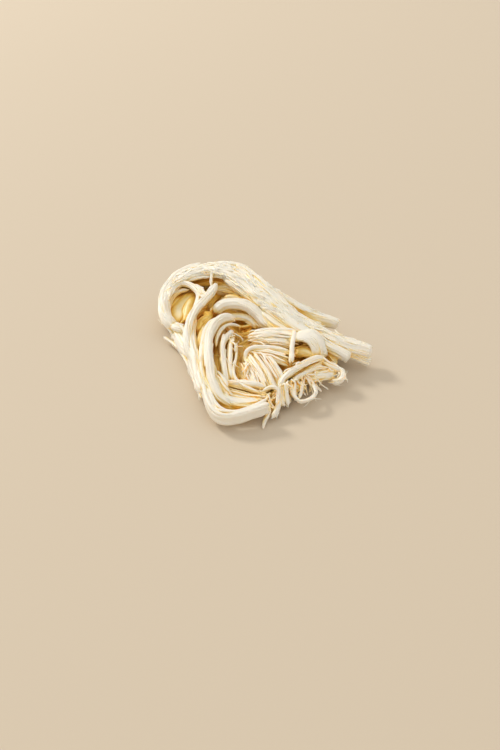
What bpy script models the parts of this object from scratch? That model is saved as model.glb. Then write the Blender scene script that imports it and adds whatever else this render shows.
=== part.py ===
"""A hank of pulled string cheese, laid down as one tangled piece.

The hank is a folded bundle of soft strands. A looped end lies at -X, and from it two arms
run out: the back arm goes straight along to the cut ends at +X, and the front arm comes
forward to a flat slab at -Y. Curled and torn strands fill the ground between the two arms.
The solid follows the bundle's uneven outline, and rests on a flat underside at z = 0.
"""

from math import cos, pi, radians, sin

import bmesh
import bpy
from mathutils import Vector

MM = 0.001

# driving dimensions, in millimetres
ROPE = 8.0                  # a plain twisted rope of strands
RIBBON = 11.0               # a strand bundle pulled flat
STRAND = 5.0                # a single strand
THREAD = 4.0                # a thin strand or a torn fibre
ROUTE_STEP = 3.0            # distance between two sections of a rope
SECTION_SIDES = 12          # corners of a rope's section
SLAB_SQUARENESS = 4.0       # superellipse power of the flat slab, 2 would be an ellipse
MESH_SIZE = 1.9             # voxel that melts the ropes into one body
FINAL_TRIANGLES = 7600
TRIM_SIDE = 300.0           # the block that trims the underside flat, wider than the hank
TRIM_DEPTH = 30.0

CHEESE_COLOUR = (0.86, 0.79, 0.62, 1.0)
CHEESE_ROUGHNESS = 0.42


def smooth_route(points, step=ROUTE_STEP):
    """Read a Catmull-Rom curve through the points, about one step apart."""
    route = [Vector(p) for p in points]
    padded = [2 * route[0] - route[1]] + route + [2 * route[-1] - route[-2]]
    result = []
    for i in range(len(route) - 1):
        before, start, end, after = padded[i:i + 4]
        count = max(2, round((end - start).length / step))
        for k in range(count):
            t = k / count
            result.append(0.5 * (2 * start + (end - before) * t
                                 + (2 * before - 5 * start + 4 * end - after) * t ** 2
                                 + (3 * start - before - 3 * end + after) * t ** 3))
    result.append(route[-1])
    return result


def arc(centre, radii, start, end, heights, turn=0.0, count=7):
    """Points on an elliptical arc, in degrees, whose height runs through the given values."""
    points = []
    for k in range(count):
        t = k / (count - 1)
        angle = radians(start + (end - start) * t)
        x, y = radii[0] * cos(angle), radii[1] * sin(angle)
        c, s = cos(radians(turn)), sin(radians(turn))
        place = t * (len(heights) - 1)
        low = min(int(place), len(heights) - 2)
        height = heights[low] + (heights[low + 1] - heights[low]) * (place - low)
        points.append((centre[0] + c * x - s * y, centre[1] + s * x + c * y, height))
    return points


def section(width, thickness, power):
    """Corners of a superelliptic section, across and up."""
    corners = []
    for k in range(SECTION_SIDES):
        angle = 2 * pi * (k + 0.5) / SECTION_SIDES
        c, s = cos(angle), sin(angle)
        corners.append((0.5 * width * abs(c) ** (2 / power) * (1 if c > 0 else -1),
                        0.5 * thickness * abs(s) ** (2 / power) * (1 if s > 0 else -1)))
    return corners


def add_rope(bm, points, width, thickness, power=2.0, tip=1.0):
    """Sweep a flattened section along a route. The last section shrinks to the tip share."""
    route = smooth_route(points)
    rings = []
    for i, centre in enumerate(route):
        along = (route[min(i + 1, len(route) - 1)] - route[max(i - 1, 0)]).normalized()
        across = along.cross(Vector((0, 0, 1))).normalized()
        up = across.cross(along)
        share = 1.0 - (1.0 - tip) * (i / (len(route) - 1)) ** 3
        rings.append([bm.verts.new((centre + across * x * share + up * y * share) * MM)
                      for x, y in section(width, thickness, power)])
    for lower, upper in zip(rings, rings[1:]):
        for k in range(SECTION_SIDES):
            n = (k + 1) % SECTION_SIDES
            bm.faces.new((lower[k], lower[n], upper[n], upper[k]))
    bm.faces.new(list(reversed(rings[0])))
    bm.faces.new(rings[-1])


def add_core(bm):
    """The packed strands under the visible ones: both arms and the ground between them."""
    add_rope(bm, [(-60, 60, 8), (-30, 60, 8), (5, 46, 8), (45, 30, 8), (66, 26, 8)], 32, 19)
    add_rope(bm, [(-58, 60, 19), (-30, 59, 22), (5, 45, 18), (45, 31, 12)], 20, 12)
    add_rope(bm, [(-64, 10, 5), (-42, -2, 7), (-18, -28, 7), (6, -60, 5)], 25, 16)
    add_rope(bm, [(-71, 66, 6), (-73, 44, 5), (-64, 18, 5)], 26, 13)
    add_rope(bm, [(-54, 38, 7), (-12, 14, 7), (20, -14, 7), (44, -30, 6)], 50, 17)
    add_rope(bm, [(-14, -30, 5), (10, -46, 5), (34, -46, 5)], 34, 12)
    add_rope(bm, [(0, -62, 4), (14, -64, 4), (30, -58, 4)], 18, 9)
    add_rope(bm, [(48, 26, 7), (44, 8, 7), (44, -14, 7)], 34, 16)


def add_looped_end(bm):
    """The ropes that turn round the looped end, and the hollow's rim with its inner folds."""
    add_rope(bm, [(-60, 8, 11), (-70, 12, 14), (-78, 25, 17), (-83, 42, 19), (-81, 62, 21),
                  (-73, 72, 23), (-58, 75, 26)], ROPE, ROPE)
    add_rope(bm, arc((-65, 28), (15, 20), 250, -30, (12, 17, 21, 24, 24, 19), turn=-8, count=9),
             STRAND, RIBBON)
    add_rope(bm, [(-64, 16, 7), (-72, 30, 8), (-78, 42, 9), (-76, 56, 10)], ROPE, ROPE)
    add_rope(bm, [(-60, 22, 7), (-67, 37, 8), (-68, 54, 10)], ROPE, ROPE)
    add_rope(bm, [(-68, 48, 25), (-56, 41, 27), (-44, 33, 28)], STRAND, STRAND)
    add_rope(bm, [(-54, 61, 33), (-46, 47, 30)], THREAD, THREAD)


def add_back_arm(bm):
    """Four ropes from the crown of the loop to the three cut ends at +X."""
    add_rope(bm, [(-66, 73, 24), (-45, 76, 28), (-29, 70, 28), (-10, 62, 24), (14, 58, 17),
                  (35, 58, 11), (52, 61, 7)], ROPE, ROPE)
    add_rope(bm, [(-70, 74, 24), (-50, 77, 31), (-34, 76, 31), (0, 60, 25), (45, 42, 18),
                  (84, 37, 15)], STRAND, STRAND)
    add_rope(bm, [(-79, 48, 22), (-68, 57, 27), (-54, 61, 32), (-36, 58, 33), (-14, 47, 31),
                  (20, 34, 25), (60, 26, 18), (86, 27, 13)], RIBBON, ROPE)
    add_rope(bm, [(-42, 60, 30), (-10, 43, 28), (30, 25, 24), (70, 17, 12)], ROPE, ROPE)
    add_rope(bm, [(-70, 64, 12), (-40, 72, 12), (-5, 62, 10), (30, 52, 8), (48, 48, 7)],
             RIBBON, RIBBON)


def add_front_arm(bm):
    """The arm that comes forward from the loop, turns the near corner and ends as a slab."""
    add_rope(bm, [(-43, 48, 31), (-40, 26, 28), (-40, 4, 23), (-30, -20, 16)], ROPE, ROPE)
    add_rope(bm, [(-43, 10, 19), (-32, -10, 18), (-20, -29, 16), (-8, -48, 13), (2, -64, 10)],
             RIBBON, ROPE)
    add_rope(bm, [(-6, -50, 11), (4, -68, 8), (13, -75, 7), (24, -74, 8), (34, -65, 9),
                  (42, -56, 11)], ROPE, RIBBON, power=SLAB_SQUARENESS)
    add_rope(bm, [(-50, 4, 11), (-38, -12, 9), (-24, -32, 7), (-11, -49, 5)], STRAND, ROPE)
    add_rope(bm, [(-68, 10, 8), (-56, 2, 6), (-37, -15, 5)], THREAD, THREAD)
    add_rope(bm, [(-24, 14, 24), (-27, 2, 25), (-24, -14, 24), (-14, -38, 18), (-3, -54, 12)],
             ROPE, ROPE)
    add_rope(bm, [(-14, 15, 23), (-20, 6, 25), (-20, -10, 26), (-12, -33, 23), (2, -54, 14),
                  (18, -62, 8)], RIBBON, ROPE)


def add_middle(bm):
    """Curled strands between the arms: the top roll, the inner arcs and the pulled ribbons."""
    add_rope(bm, [(-34, 23, 22), (-28, 31, 25), (-18, 35, 26), (-6, 33, 24), (4, 28, 20),
                  (13, 20, 15)], RIBBON, ROPE)
    add_rope(bm, [(-10, 9, 19), (-13, -5, 21), (-9, -22, 20), (0, -40, 15), (8, -46, 10)],
             STRAND, ROPE)
    add_rope(bm, [(-6, 1, 17), (-1, -20, 17), (6, -37, 16), (17, -44, 14), (33, -45, 13)],
             STRAND, ROPE)
    add_rope(bm, [(0, 4, 19), (10, 7, 22), (24, 12, 23), (38, 13, 21)], 2 * ROPE, ROPE)
    add_rope(bm, [(10, -20, 12), (8, -14, 17), (13, -9, 20), (26, -6, 20), (42, -4, 18)],
             RIBBON, ROPE)
    add_rope(bm, [(14, -14, 16), (24, -24, 17), (33, -32, 15), (42, -38, 11)], 2 * ROPE, ROPE)
    add_rope(bm, [(-2, 36, 22), (10, 27, 22), (32, 18, 20)], RIBBON, ROPE)
    add_rope(bm, [(37, 9, 17), (40, 16, 22), (47, 17, 22), (52, 12, 16)], ROPE, ROPE)
    add_rope(bm, [(31, 19, 22), (38, -2, 24), (43, -16, 20)], STRAND, STRAND)


def add_torn_side(bm):
    """Torn strands at +X: the folded fringe, its curl and ring, and the tail at the front."""
    add_rope(bm, [(43, -35, 12), (46, -24, 17), (51, -13, 19), (60, 3, 16)], ROPE, ROPE)
    add_rope(bm, [(58, 2, 14), (68, 0, 12), (75, -1, 10), (77, -6, 8), (70, -9, 5)],
             STRAND, ROPE)
    add_rope(bm, [(50, -20, 11), (60, -10, 9), (70, -2, 9)], ROPE, RIBBON)
    add_rope(bm, [(47, -29, 13), (52, -35, 10), (58, -38, 7), (64, -34, 7), (66, -26, 8),
                  (58, -19, 10)], THREAD, STRAND)
    add_rope(bm, [(53, -20, 11), (56, -29, 9), (57, -37, 7)], THREAD, THREAD)
    add_rope(bm, [(41, -30, 14), (44, -39, 10), (49, -46, 4)], ROPE, STRAND, tip=0.5)
    add_rope(bm, [(34, -45, 12), (41, -47, 10), (45, -56, 6), (42, -66, 3)],
             STRAND, STRAND, tip=0.5)


def make_hank():
    """Melt every rope into one body, then trim it flat where it lies."""
    bm = bmesh.new()
    for add in (add_core, add_looped_end, add_back_arm, add_front_arm, add_middle,
                add_torn_side):
        add(bm)
    bmesh.ops.recalc_face_normals(bm, faces=bm.faces)
    mesh = bpy.data.meshes.new("string_cheese")
    bm.to_mesh(mesh)
    bm.free()
    hank = bpy.data.objects.new("string_cheese", mesh)
    bpy.context.scene.collection.objects.link(hank)

    melt = hank.modifiers.new("melt", "REMESH")
    melt.mode = "VOXEL"
    melt.voxel_size = MESH_SIZE * MM
    melt.use_smooth_shade = True

    bpy.context.view_layer.update()
    evaluated = hank.evaluated_get(bpy.context.evaluated_depsgraph_get())
    triangles = sum(len(p.vertices) - 2 for p in evaluated.data.polygons)

    thin = hank.modifiers.new("thin", "DECIMATE")
    thin.ratio = FINAL_TRIANGLES / triangles
    thin.use_collapse_triangulate = True

    trim = hank.modifiers.new("trim", "BOOLEAN")
    trim.operation = "DIFFERENCE"
    trim.solver = "EXACT"
    trim.object = make_trim_block()
    return hank


def make_trim_block():
    """The block whose top face is the surface that the hank lies on."""
    mesh = bpy.data.meshes.new("trim_block")
    bm = bmesh.new()
    bmesh.ops.create_cube(bm, size=1.0)
    bmesh.ops.scale(bm, vec=(TRIM_SIDE * MM, TRIM_SIDE * MM, TRIM_DEPTH * MM),
                    verts=bm.verts)
    bmesh.ops.translate(bm, vec=(0, 0, -0.5 * TRIM_DEPTH * MM), verts=bm.verts)
    bm.to_mesh(mesh)
    bm.free()
    block = bpy.data.objects.new("trim_block", mesh)
    bpy.context.scene.collection.objects.link(block)
    block.hide_render = True
    block.display_type = "WIRE"
    return block


def cheese_material():
    material = bpy.data.materials.new("cheese")
    material.use_nodes = True
    shader = material.node_tree.nodes["Principled BSDF"]
    shader.inputs["Base Color"].default_value = CHEESE_COLOUR
    shader.inputs["Roughness"].default_value = CHEESE_ROUGHNESS
    shader.inputs["Metallic"].default_value = 0.0
    return material


for old in list(bpy.data.objects):
    bpy.data.objects.remove(old, do_unlink=True)

hank = make_hank()
hank.data.materials.append(cheese_material())
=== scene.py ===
import math
import random

import bmesh
import bpy
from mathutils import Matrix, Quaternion, Vector


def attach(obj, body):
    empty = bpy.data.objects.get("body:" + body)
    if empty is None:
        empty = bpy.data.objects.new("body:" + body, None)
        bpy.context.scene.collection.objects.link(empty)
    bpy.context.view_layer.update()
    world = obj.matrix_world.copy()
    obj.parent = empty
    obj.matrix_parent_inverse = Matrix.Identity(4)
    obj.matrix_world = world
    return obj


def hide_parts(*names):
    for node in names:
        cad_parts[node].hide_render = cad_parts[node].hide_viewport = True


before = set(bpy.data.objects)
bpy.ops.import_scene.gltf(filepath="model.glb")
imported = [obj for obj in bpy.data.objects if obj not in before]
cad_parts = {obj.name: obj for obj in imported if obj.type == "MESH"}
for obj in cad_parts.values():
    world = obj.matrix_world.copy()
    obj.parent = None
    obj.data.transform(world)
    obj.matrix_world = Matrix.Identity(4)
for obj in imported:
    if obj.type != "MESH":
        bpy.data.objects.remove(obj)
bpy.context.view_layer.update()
millimetre = 0.001
boardGap = 0.0003     # the lowest strands lie this far above the board

print("frame loaded")


def put(tree, kind, links=None, **settings):
    node = tree.nodes.new(kind)
    for key, value in settings.items():
        setattr(node, key, value)
    for key, value in (links or {}).items():
        if isinstance(value, bpy.types.NodeSocket):
            tree.links.new(value, node.inputs[key])
        else:
            node.inputs[key].default_value = value
    return node


def made(tree, kind, links=None, **settings):
    return put(tree, kind, links, **settings).outputs[0]


def calc(tree, operation, *values, clamp=False):
    return made(tree, "ShaderNodeMath", dict(enumerate(values)), operation=operation, use_clamp=clamp)


def times(tree, a, b):
    return calc(tree, "MULTIPLY", a, b)


def vec(tree, operation, *values):
    node = put(tree, "ShaderNodeVectorMath", operation=operation)
    for value, socket in zip(values, node.inputs):
        if operation == "SCALE" and value is values[1]:
            socket = node.inputs["Scale"]
        if isinstance(value, bpy.types.NodeSocket):
            tree.links.new(value, socket)
        else:
            socket.default_value = value
    return node.outputs["Value" if operation == "LENGTH" else "Vector"]


def named(tree, name, kind="FLOAT"):
    return made(tree, "GeometryNodeInputNamedAttribute", {"Name": name}, data_type=kind)


def store(tree, geometry, name, value, kind="FLOAT"):
    links = {"Geometry": geometry, "Name": name, "Value": value}
    return made(tree, "GeometryNodeStoreNamedAttribute", links, data_type=kind)


def startTree(name, sockets):
    tree = bpy.data.node_groups.new(name, "GeometryNodeTree")
    tree.interface.new_socket("Geometry", in_out="INPUT", socket_type="NodeSocketGeometry")
    for label, (kind, value) in sockets.items():
        socket = tree.interface.new_socket(label, in_out="INPUT", socket_type="NodeSocket" + kind)
        if value is not None:
            socket.default_value = value
    tree.interface.new_socket("Geometry", in_out="OUTPUT", socket_type="NodeSocketGeometry")
    return tree, tree.nodes.new("NodeGroupInput").outputs


def endTree(tree, geometry, material):
    geometry = made(tree, "GeometryNodeRealizeInstances", {0: geometry})
    geometry = made(tree, "GeometryNodeSetMaterial", {"Geometry": geometry, "Material": material})
    tree.links.new(geometry, tree.nodes.new("NodeGroupOutput").inputs[0])
    return tree


def runTree(tree, source, values, name):
    modifier = source.modifiers.new(tree.name, "NODES")
    modifier.node_group = tree
    for item in tree.interface.items_tree:
        if item.item_type == "SOCKET" and item.in_out == "INPUT" and item.name in values:
            modifier[item.identifier] = values[item.name]
    bpy.context.view_layer.update()
    graph = bpy.context.evaluated_depsgraph_get()
    mesh = bpy.data.meshes.new_from_object(source.evaluated_get(graph))
    source.modifiers.remove(modifier)
    mesh.name = name
    mesh.materials.clear()
    mesh.materials.append(values["Material"])
    mesh.polygons.foreach_set("material_index", [0] * len(mesh.polygons))
    return mesh


def addObject(name, data):
    piece = bpy.data.objects.new(name, data)
    bpy.context.scene.collection.objects.link(piece)
    return piece


def finished(name, mesh):
    print(name, sum(len(p.vertices) - 2 for p in mesh.polygons), "triangles")
    return addObject(name, mesh)


# cream is the cheese's own colour; the three darker colours after it are painted shade, laid on where strands
# lie closed in among others
cheeseFinishAndPaintedShade = {
    "cream": (0.95, 0.895, 0.775, 1.0),
    "paleShadeButter": (0.97, 0.82, 0.45, 1.0),
    "shadeYellow": (0.97, 0.68, 0.15, 1.0),
    "deepShadeOchre": (0.70, 0.34, 0.03, 1.0),
    "stops": (0.20, 0.42, 0.62, 0.94),
    "hollowPaintedShadeShare": 1.08,
    "nookPaintedShadeShare": 0.08,
    "streakShare": 0.24,
    "fineShare": 0.35,
    "fineGrain": 1500.0,
    "coarseGrain": 420.0,
    "grainStretch": 0.05,
    "grainDepth": 0.0006,
    "smoothest": 0.26,
    "roughSpread": 0.25,
    "scatter": 0.35,
    "scatterRadius": (1.0, 0.62, 0.3),
    "scatterScale": 0.003,
    "coat": 0.15,
    "coatRoughness": 0.3,
}


def makeGrainGroup():
    group = bpy.data.node_groups.new("strandGrain", "ShaderNodeTree")
    for label, key in (("Fine", "fineGrain"), ("Coarse", "coarseGrain"), ("Stretch", "grainStretch")):
        socket = group.interface.new_socket(label, in_out="INPUT", socket_type="NodeSocketFloat")
        socket.default_value = cheeseFinishAndPaintedShade[key]
    for label in ("Height", "Streak"):
        group.interface.new_socket(label, in_out="OUTPUT", socket_type="NodeSocketFloat")
    values = group.nodes.new("NodeGroupInput").outputs
    grain = put(group, "ShaderNodeAttribute", attribute_name="grain").outputs["Vector"]
    parts = put(group, "ShaderNodeSeparateXYZ", {0: grain}).outputs
    slow = times(group, parts[2], values["Stretch"])
    place = made(group, "ShaderNodeCombineXYZ", {0: parts[0], 1: parts[1], 2: slow})
    fine = made(group, "ShaderNodeTexNoise", {"Vector": place, "Scale": values["Fine"], "Detail": 2.0})
    coarse = made(group, "ShaderNodeTexNoise", {"Vector": place, "Scale": values["Coarse"], "Detail": 3.0})
    share = cheeseFinishAndPaintedShade["fineShare"]
    height = calc(group, "MULTIPLY_ADD", fine, share, times(group, coarse, 1 - share))
    out = group.nodes.new("NodeGroupOutput").inputs
    group.links.new(height, out["Height"])
    group.links.new(coarse, out["Streak"])
    return group


grainGroup = makeGrainGroup()


def makeCheese(name, ridge, paintedShadeTint):
    material = bpy.data.materials.new(name)
    material.use_nodes = True
    tree = material.node_tree
    shader = tree.nodes["Principled BSDF"]
    shader.subsurface_method = "BURLEY"
    grain = put(tree, "ShaderNodeGroup", node_tree=grainGroup).outputs

    def stored(label):
        return put(tree, "ShaderNodeAttribute", attribute_name=label).outputs["Fac"]

    # painted shade: how closed in each point is, each strand's own shift and this material's shift move the
    # colour from cream toward the darker ramp colours; the streak adds grain that varies at random
    shade = calc(tree, "MULTIPLY_ADD", stored("hollow"), cheeseFinishAndPaintedShade["hollowPaintedShadeShare"], stored("tone"))
    shade = calc(tree, "MULTIPLY_ADD", stored("nook"), cheeseFinishAndPaintedShade["nookPaintedShadeShare"], shade)
    share = cheeseFinishAndPaintedShade["streakShare"]
    shade = calc(tree, "MULTIPLY_ADD", grain["Streak"], share, calc(tree, "ADD", shade, paintedShadeTint - 0.5 * share))
    ramp = put(tree, "ShaderNodeValToRGB", {0: shade})
    stops = ramp.color_ramp.elements
    while len(stops) < 4:
        stops.new(0.5)
    for stop, place, colour in zip(stops, cheeseFinishAndPaintedShade["stops"], ("cream", "paleShadeButter", "shadeYellow", "deepShadeOchre")):
        stop.position, stop.color = place, cheeseFinishAndPaintedShade[colour]
    tree.links.new(ramp.outputs[0], shader.inputs["Base Color"])
    rough = calc(tree, "MULTIPLY_ADD", grain["Streak"], cheeseFinishAndPaintedShade["roughSpread"],
                 cheeseFinishAndPaintedShade["smoothest"])
    tree.links.new(rough, shader.inputs["Roughness"])
    bump = put(tree, "ShaderNodeBump",
               {"Height": grain["Height"], "Strength": ridge, "Distance": cheeseFinishAndPaintedShade["grainDepth"]})
    tree.links.new(bump.outputs[0], shader.inputs["Normal"])
    for label, key in (("Subsurface Weight", "scatter"), ("Subsurface Radius", "scatterRadius"),
                       ("Subsurface Scale", "scatterScale"), ("Coat Weight", "coat"),
                       ("Coat Roughness", "coatRoughness")):
        shader.inputs[label].default_value = cheeseFinishAndPaintedShade[key]
    return material


cheeseStrand = makeCheese("cheeseStrand", 0.55, 0.0)
# the buried core strands use a copy of the cheese material shifted further toward the painted shade colours
cheeseCore = makeCheese("cheeseCore", 0.8, 0.3)

print("materials ready")


def smooth(points, step):
    # Catmull-Rom through the points
    route = [Vector(p) for p in points]
    padded = [2 * route[0] - route[1]] + route + [2 * route[-1] - route[-2]]
    result = []
    for i in range(len(route) - 1):
        before, a, b, after = padded[i:i + 4]
        count = max(2, round((b - a).length / step))
        for k in range(count):
            t = k / count
            result.append(0.5 * (2 * a + (b - before) * t + (2 * before - 5 * a + 4 * b - after) * t ** 2
                                 + (3 * a - before - 3 * b + after) * t ** 3))
    result.append(route[-1])
    return result


# the groove's depth is a share of the thinner side, the torn length a share of the width
plainStrand = {"ridgesPerWidth": 1.1, "groove": 0.12, "torn": 0.6}


# each strand's colour shift is partly its own colour and partly painted shade, larger for strands that lie
# deep in the gaps
def strand(points, wide, thick, ridges=None, deep=None, roll=0, tips=(3, 3), wobble=0.4, cover=1.0, tone=0.0,
           ragged=None, square=0.15, seed=0):
    # one strand's route and its sizes, all in millimetres and degrees
    ridges = round(wide * plainStrand["ridgesPerWidth"]) + 2 if ridges is None else ridges
    deep = plainStrand["groove"] * min(wide, thick) if deep is None else deep
    ragged = plainStrand["torn"] * wide if ragged is None else ragged
    return {"points": points, "wide": wide, "thick": thick, "ridges": ridges, "deep": deep, "roll": roll,
            "tips": tips, "wobble": wobble, "cover": cover, "tone": tone, "ragged": ragged, "square": square,
            "seed": seed}


def frameAt(route, i, roll):
    along = (route[min(i + 1, len(route) - 1)] - route[max(i - 1, 0)]).normalized()
    across = along.cross(Vector((0, 0, 1))).normalized()
    up = across.cross(along)
    c, s = math.cos(math.radians(roll)), math.sin(math.radians(roll))
    return along, across * c + up * s, up * c - across * s


overlay = {
    "start": (-0.25, 0.6),
    "share": (0.35, 1.0),
    "around": (-0.5, math.pi + 0.5),
    "drift": (-0.6, 0.6),
    "rate": (0.05, 0.2),
    "flatness": (0.6, 0.9),
    "tip": (1, 4),
    "lowest": 0.2,
}


def layOver(strands, settings):
    # thin strands that lie along the broad ones, wander over them and lift at their ends
    thin = []
    for s in strands:
        rng = random.Random(1000 + s["seed"])
        route = smooth(s["points"], 3)
        for k in range(round(s["wide"] * settings["perWidth"] * s["cover"])):
            start = rng.uniform(*overlay["start"])
            end = min(1.0, start + rng.uniform(*overlay["share"]))
            first, last = round(max(start, 0.0) * (len(route) - 1)), round(end * (len(route) - 1))
            if last - first < 4:
                continue
            angle, drift, rate = [rng.uniform(*overlay[key]) for key in ("around", "drift", "rate")]
            size = rng.uniform(*settings["size"])
            lift = rng.uniform(0.0, settings["lift"]) if rng.random() < settings["lifted"] else 0.0
            if s["tips"][1] < 1 and last > len(route) - 8:
                last, lift = len(route) - 1, 0.0
            points = []
            for i in range(first, last + 1, 2):
                along, across, up = frameAt(route, i, s["roll"])
                turn = angle + drift * math.sin(i * rate + k)
                nearEnd = max(0.0, 1 - (last - i) / 4) + max(0.0, 1 - (i - first) / 4)
                out = nearEnd * lift - size * settings["sink"]
                points.append(route[i] + across * ((0.5 * s["wide"] + out) * math.cos(turn))
                              + up * ((0.5 * s["thick"] + out) * math.sin(turn)))
            isCut = s["tips"][1] < 1 and last == len(route) - 1
            if len(points) > 2 and min(q.z for q in points) > overlay["lowest"]:
                thick = size * rng.uniform(*overlay["flatness"])
                tips = (rng.uniform(*overlay["tip"]), 0.6 if isCut else rng.uniform(*overlay["tip"]))
                thin.append(strand(points, size, thick, ridges=4, deep=0.1 * size, tips=tips, wobble=0.12,
                                   tone=s["tone"], ragged=0.0 if isCut else 0.7, seed=s["seed"] * 31 + k))
    return thin


frayShape = {"steps": 7, "bend": (0.4, 1.6), "flatness": (0.65, 1.0), "tip": (0.7, 2), "lowest": 0.7,
             "fall": 1.4}


def fray(root, heading, length, curl, drop, size, seed, rise=1.0, tone=0.0):
    # a torn strand leaves the side, bends over its length and drops toward the board
    rng = random.Random(seed)
    x, y, z = root
    points = [root]
    angle = math.radians(heading)
    steps = frayShape["steps"]
    for k in range(steps):
        angle += math.radians(curl) / steps * rng.uniform(*frayShape["bend"])
        x += math.cos(angle) * length / steps
        y += math.sin(angle) * length / steps
        t = (k + 1) / steps
        height = z + rise * 4 * t * (1 - t) - drop * t ** frayShape["fall"]
        points.append((x, y, max(frayShape["lowest"], height)))
    thick = size * rng.uniform(*frayShape["flatness"])
    return strand(points, size, thick, ridges=4, deep=0.12 * size, wobble=0.3, tone=tone,
                  tips=(2, rng.uniform(*frayShape["tip"])), cover=0.0, ragged=0.5, seed=seed)


fanShape = {
    "aside": (-0.8, 0.8),
    "early": (-0.05, 0.2),
    "late": (0.8, 1.05),
    "level": (-1.2, 1.0),
    "stray": (-0.5, 0.5),
    "flatness": (0.35, 0.6),
    "tone": (0, 0.05),
    "roll": (-20, 20),
}


def fan(starts, ends, count, rise, size, seed, tone=0.0):
    # thin strands side by side, from one line of points to another, bulging upward between them
    rng = random.Random(seed)
    fromLine, toLine = smooth(starts, 1), smooth(ends, 1)
    strands = []
    for k in range(count):
        t = min(1.0, max(0.0, (k + rng.uniform(*fanShape["aside"])) / (count - 1)))
        a, b = fromLine[round(t * (len(fromLine) - 1))], toLine[round(t * (len(toLine) - 1))]
        early, late, level = [rng.uniform(*fanShape[key]) for key in ("early", "late", "level")]
        points = []
        for i in range(6):
            u = early + (late - early) * i / 5
            aside = [rng.uniform(*fanShape["stray"]) for _ in range(2)]
            points.append(a.lerp(b, u) + Vector((*aside, level + rise * 4 * u * (1 - u))))
        wide = rng.uniform(*size)
        thick = wide * rng.uniform(*fanShape["flatness"])
        shade = tone + rng.uniform(*fanShape["tone"])
        strands.append(strand(points, wide, thick, ridges=6, deep=0.1 * wide, cover=0.0, tips=(2, 2),
                              wobble=0.15, ragged=0.8, tone=shade, roll=rng.uniform(*fanShape["roll"]),
                              seed=seed * 50 + k))
    return strands


def frayRow(path, count, heading, length, curl, drop, size, seed, tone=0.0):
    # torn strands along a path, each number picked between its two limits
    rng = random.Random(seed)
    route = smooth(path, 2)
    row = []
    for k in range(count):
        root = route[int(rng.random() * (len(route) - 1))]
        root = root + Vector([rng.uniform(-1.5, 1.5) for _ in range(3)])
        row.append(fray(tuple(root), rng.uniform(*heading), rng.uniform(*length), rng.uniform(*curl),
                        rng.uniform(*drop) * root.z, rng.uniform(*size), seed * 100 + k,
                        rng.uniform(-1, 2.5), tone))
    return row


strandShape = {
    "thinBelow": 0.0042,     # metres
    "cutZone": 0.014,
    "driftRate": 30.0,     # all rates are waves of noise for each metre of strand
    "fadeRate": 45.0,
    "streakRate": 50.0,
    "lumpRate": 120.0,
    "swellRate": 70.0,
    "grooveSharpness": 0.6,
    "fade": (2.6, -0.5),     # contrast and offset of where grooves show
    "streakDepth": 1.1,
    "tearSpread": 2.6,
    "thinnestTip": 0.04,
}


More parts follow.
